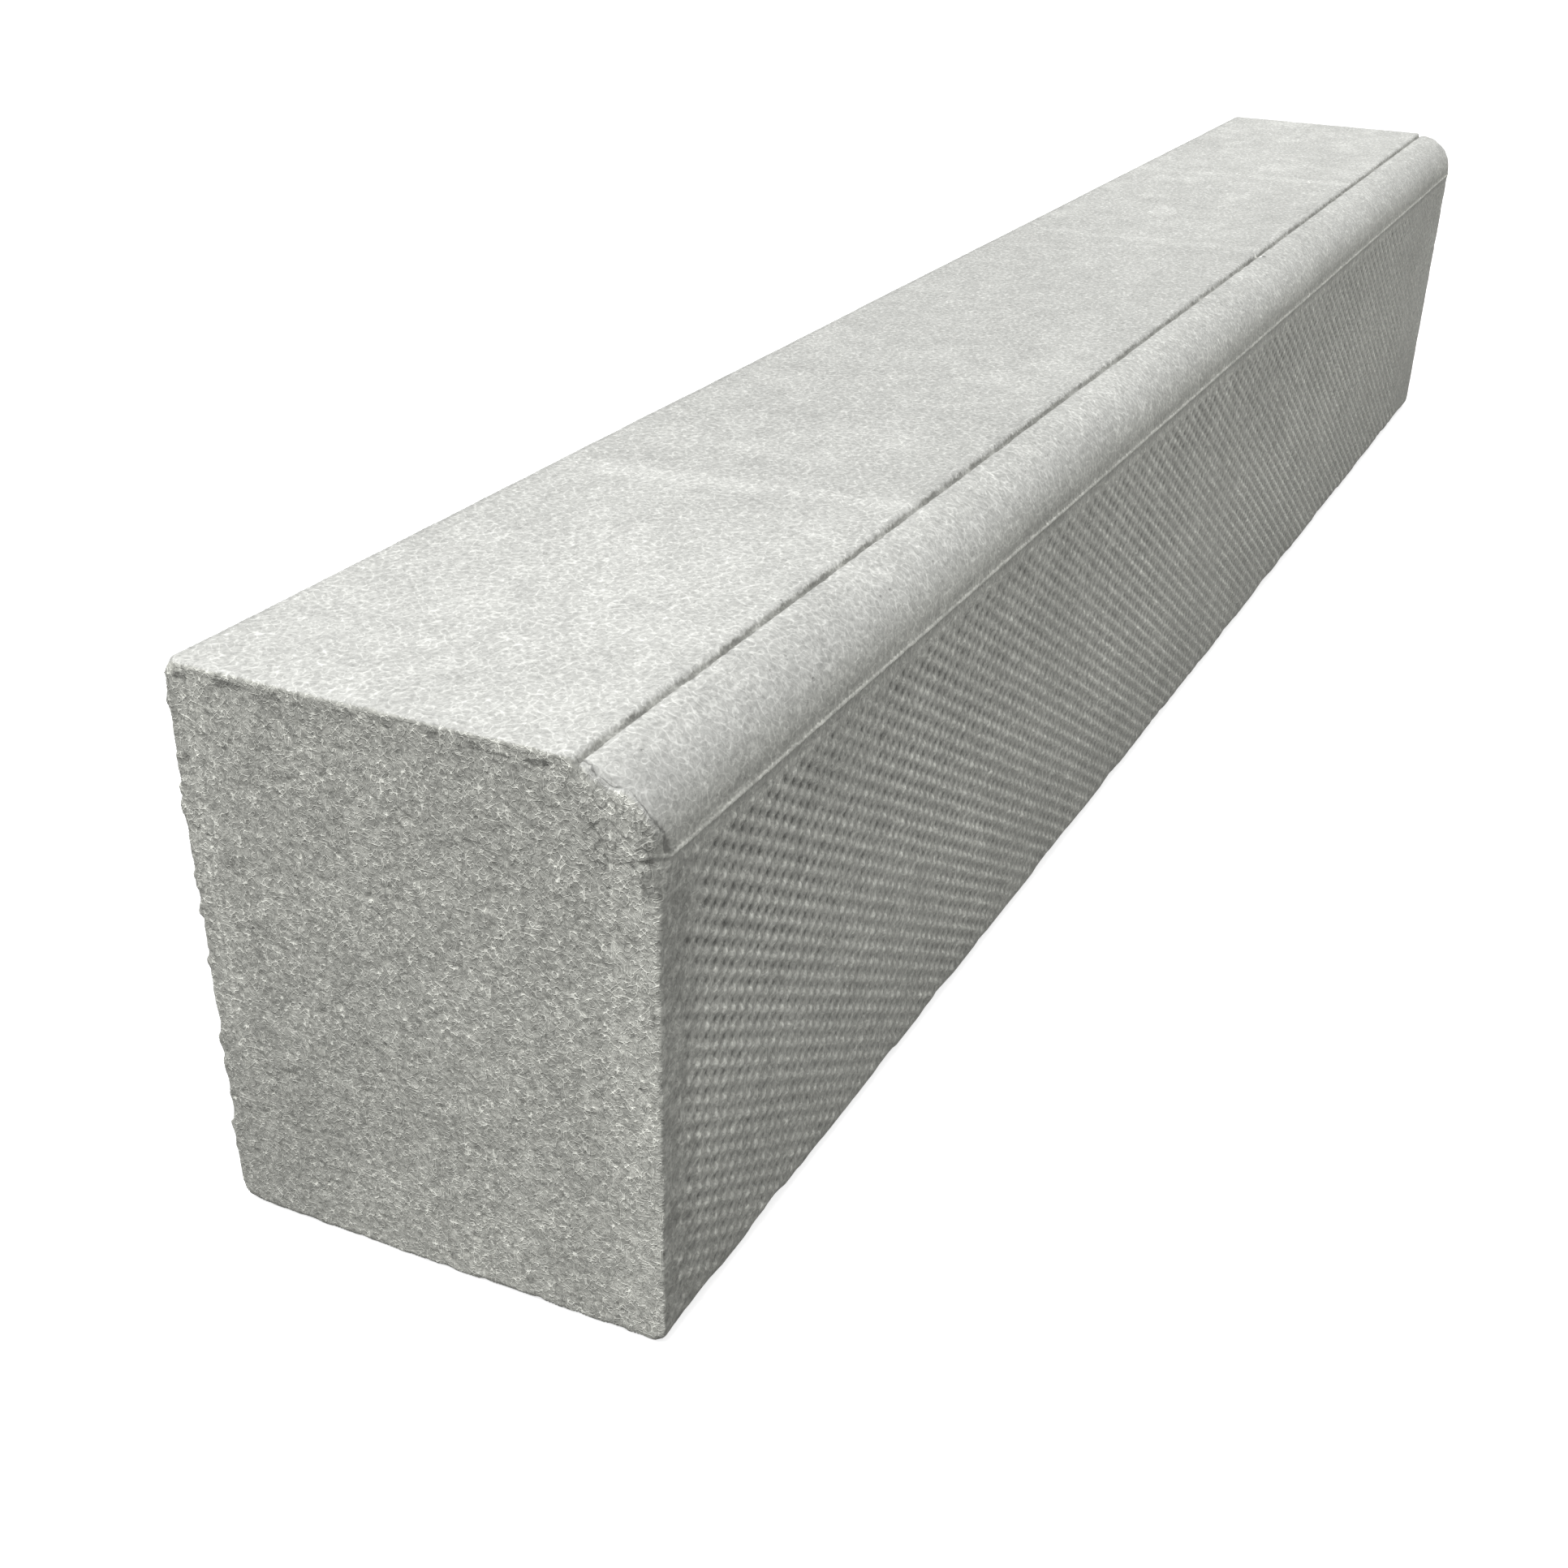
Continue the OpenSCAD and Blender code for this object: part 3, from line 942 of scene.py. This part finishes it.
def marked_tone(n, tone):
    """The lines and small marks: painted shade in the groove, a painted highlight on the fin, a painted
    highlight beside a dark dot in the groove, the chip's edge, painted shade under the nose and in the notch
    under the fin, and the back arris.
    """
    # painted shade: a darker band on the nose's underside just above the fin, where the nose turns down from
    # the light
    painted_shade_under_nose = n.product(n.band(n.z, FIN_Z + 0.8, FIN_Z + 2.5, 2.5), n.off_end)
    tone = n.darker(tone, n.product(painted_shade_under_nose, n.ramp(n.y, NOSE_Y, NOSE_Y + 4, 1.0, 0.0)), 0.09)
    # painted shade: the groove's crack is drawn as a dark, frayed line
    tone = n.darker(tone, n.groove, 0.56)
    # painted highlight: the fin's ridge is drawn as a pale line, about twice as bright as the skin round it
    tone = n.darker(tone, n.fin, -1.05)
    by_groove = n.ramp(n.z, CREST - 4.0, CREST - 2.0)
    # a painted highlight in the groove, and a dark dot beside it
    for at_x, at_y, size, amount in HIGHLIGHT_AND_DOT_MARKS:
        off_y = n.math("POWER", n.math("SUBTRACT", n.y, at_y), 2.0)
        off = n.math("SQRT", n.math("ADD", off_y, n.math("POWER", n.math("SUBTRACT", n.x, at_x), 2.0)))
        tone = n.darker(tone, n.product(n.ramp(off, 0.7 * size, 1.4 * size, 1.0, 0.0), by_groove), amount)
    chip_edge = n.product(n.band(n.on_end, 0.03, 0.11, 0.03), n.on_nose)
    chip_edge = n.product(chip_edge, n.ramp(n.noise(n.where, 3.0, 2.0, 0.6, 99.0), 0.36, 0.54, 0.25, 1.0))
    tone = n.darker(tone, chip_edge, 0.46)
    # painted shade: the chipped notch under the fin by each end, which faces down, is darkened
    under_fin = n.band(n.z, FIN_Z - 8.0, FIN_Z - 1.0, 1.5)
    by_face = n.ramp(n.y, FRONT + 3.5, FRONT + 4.5, 1.0, 0.0)
    uneven = n.ramp(n.noise(n.where, 2.5, 2.0, 0.6, 77.0), 0.34, 0.5, 0.6, 1.0)
    notch = n.product(under_fin, by_face, n.ramp(n.on_end, 0.05, 0.15), uneven)
    tone = n.darker(tone, notch, 0.48)
    back_rim = n.product(n.band(n.y, BACK - 2.4, BACK - 1.2, 0.6), n.on_top)
    return n.darker(tone, back_rim, 0.10)


def concrete(name):
    """Cast concrete: cloudy and smooth on the top and nose, mottled between the dots, grainy on the ends."""
    material = bpy.data.materials.new(name)
    material.use_nodes = True
    n = Concrete(material.node_tree)
    tone = n.varied(0.495, 0.13, n.noise(n.where, (70.0, 42.0, 60.0), 3.0, 0.6))
    tone = n.varied(tone, 0.20, n.noise(n.where, 11.0, 3.0, 0.6, 3.0))
    tone = n.mix(n.coarse, plain_tone(n, tone), end_tone(n, tone))
    tone = marked_tone(n, face_tone(n, tone))

    # painted light: the top and nose, which face the light, get the bluer tint; the rest and the groove get
    # the warmer tint of shade
    lit = n.product(n.ramp(n.z, NOSE_Z, CREST - 4.0), n.off_end, n.math("SUBTRACT", 1.0, n.groove))
    blue = n.product(tone, n.mix(lit, BLUE, BLUE_LIT))
    shade = n.add("ShaderNodeCombineColor", {"Red": tone, "Green": n.product(tone, GREEN), "Blue": blue})
    height = n.product(n.grain, n.mix(n.coarse, 0.22, 0.6))
    height = n.math("ADD", height, n.product(n.fine_curls, n.mix(n.coarse, 0.03, 0.22)))
    height = n.math("SUBTRACT", height, n.product(n.pores, 0.4))
    bump = n.add("ShaderNodeBump", {"Strength": 0.7, "Distance": MM, "Height": height})
    dull = n.ramp(n.grain, 0.2, 0.8, 0.78, 0.95)
    shader = n.add("ShaderNodeBsdfPrincipled", {
        "Base Color": shade.outputs[0], "Roughness": dull, "Normal": bump.outputs[0]})
    shader.inputs["Specular IOR Level"].default_value = 0.35
    n.add("ShaderNodeOutputMaterial", {"Surface": shader.outputs[0]})
    return material


for piece, node, slot in (
    (facing, "facing_layer", "facing_concrete"),
    (backing, "backing_concrete", "backing_concrete"),
):
    piece.data.materials.append(concrete(piece.name))
    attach(piece, "root")
    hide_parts(node)


# ---------------------------------------------------------------- floor, light and camera
def make_floor():
    """A wide disc just under the unit. It glows a little, so that the unit's shadow stays faint."""
    radius, rings, spokes = 14.0, 10, 72
    verts = [(0.0, 0.0, 0.0)]
    for ring in range(1, rings + 1):
        r = radius * (ring / rings) ** 2
        for spoke in range(spokes):
            turn = 2 * math.pi * spoke / spokes
            verts.append((r * math.cos(turn), r * math.sin(turn), 0.0))
    faces = [(0, 1 + k, 1 + (k + 1) % spokes) for k in range(spokes)]
    for ring in range(rings - 1):
        inner, outer = 1 + ring * spokes, 1 + (ring + 1) * spokes
        for k in range(spokes):
            ahead = (k + 1) % spokes
            faces.append((inner + k, outer + k, outer + ahead, inner + ahead))
    mesh = bpy.data.meshes.new("floor")
    mesh.from_pydata(verts, [], faces)
    floor = bpy.data.objects.new("floor", mesh)
    bpy.context.scene.collection.objects.link(floor)
    floor.location.z = -0.0004
    floor.visible_diffuse = False
    material = bpy.data.materials.new("pale_floor")
    material.use_nodes = True
    n = Nodes(material.node_tree)
    where = n.add("ShaderNodeTexCoord").outputs["Object"]
    spots = n.add("ShaderNodeTexNoise", {"Vector": where, "Scale": 3.0}).outputs["Fac"]
    tone = n.ramp(spots, 0.3, 0.7, 0.58, 0.60)
    shade = n.add("ShaderNodeCombineColor", {"Red": tone, "Green": tone, "Blue": tone})
    matt = n.add("ShaderNodeBsdfDiffuse", {"Color": shade.outputs[0]})
    glow = n.add("ShaderNodeEmission")
    glow.inputs["Strength"].default_value = 0.68
    both = n.add("ShaderNodeAddShader", {0: matt.outputs[0], 1: glow.outputs[0]})
    n.add("ShaderNodeOutputMaterial", {"Surface": both.outputs[0]})
    mesh.materials.append(material)


def make_world(zenith, horizon, below, seen):
    """A soft dome: brightest overhead, dark below, and a plain pale colour where the camera sees it."""
    world = bpy.data.worlds.new("studio")
    bpy.context.scene.world = world
    world.use_nodes = True
    n = Nodes(world.node_tree)
    towards = n.add("ShaderNodeTexCoord").outputs["Generated"]
    up = n.add("ShaderNodeSeparateXYZ", {0: towards}).outputs["Z"]
    sky = n.add("ShaderNodeMapRange", {"Value": up, "To Min": horizon, "To Max": zenith}).outputs[0]
    glow = n.mix(n.ramp(up, -0.06, 0.02), below, sky)
    path = n.add("ShaderNodeLightPath").outputs["Is Camera Ray"]
    level = n.mix(path, glow, seen)
    background = n.add("ShaderNodeBackground", {"Strength": level})
    background.inputs["Color"].default_value = (1.0, 1.0, 1.0, 1.0)
    n.add("ShaderNodeOutputWorld", {"Surface": background.outputs[0]})


def make_key(towards, strength, spread_angle):
    """A soft sun that shines from the direction towards."""
    light = bpy.data.lights.new("key", "SUN")
    light.energy = strength
    light.angle = math.radians(spread_angle)
    lamp = bpy.data.objects.new("key", light)
    lamp.rotation_mode = "QUATERNION"
    lamp.rotation_quaternion = Vector(towards).to_track_quat("Z", "Y")
    bpy.context.scene.collection.objects.link(lamp)


def make_camera():
    """The camera stands before the left end, a little above the road face, and looks along the unit."""
    camera = bpy.data.cameras.new("camera")
    camera.lens = 45.13
    camera.sensor_width = 36.0
    camera.shift_x = -0.0098
    camera.shift_y = 0.1108
    camera.clip_start = 0.01
    stand = bpy.data.objects.new("camera", camera)
    place = Vector((-763.0, -235.5, 323.2)) * MM
    aim = Vector((-298.1, -21.3, 10.1)) * MM
    roll = Matrix.Rotation(math.radians(1.55), 3, "Z").to_quaternion()
    stand.location = place
    stand.rotation_mode = "QUATERNION"
    stand.rotation_quaternion = (aim - place).to_track_quat("-Z", "Y") @ roll
    bpy.context.scene.collection.objects.link(stand)
    bpy.context.scene.camera = stand


make_floor()
make_world(zenith=1.15, horizon=0.5, below=0.05, seen=1.0)
make_key(towards=(-0.39, 0.06, 0.92), strength=1.75, spread_angle=24)
make_camera()
bpy.context.scene.view_settings.view_transform = "Standard"
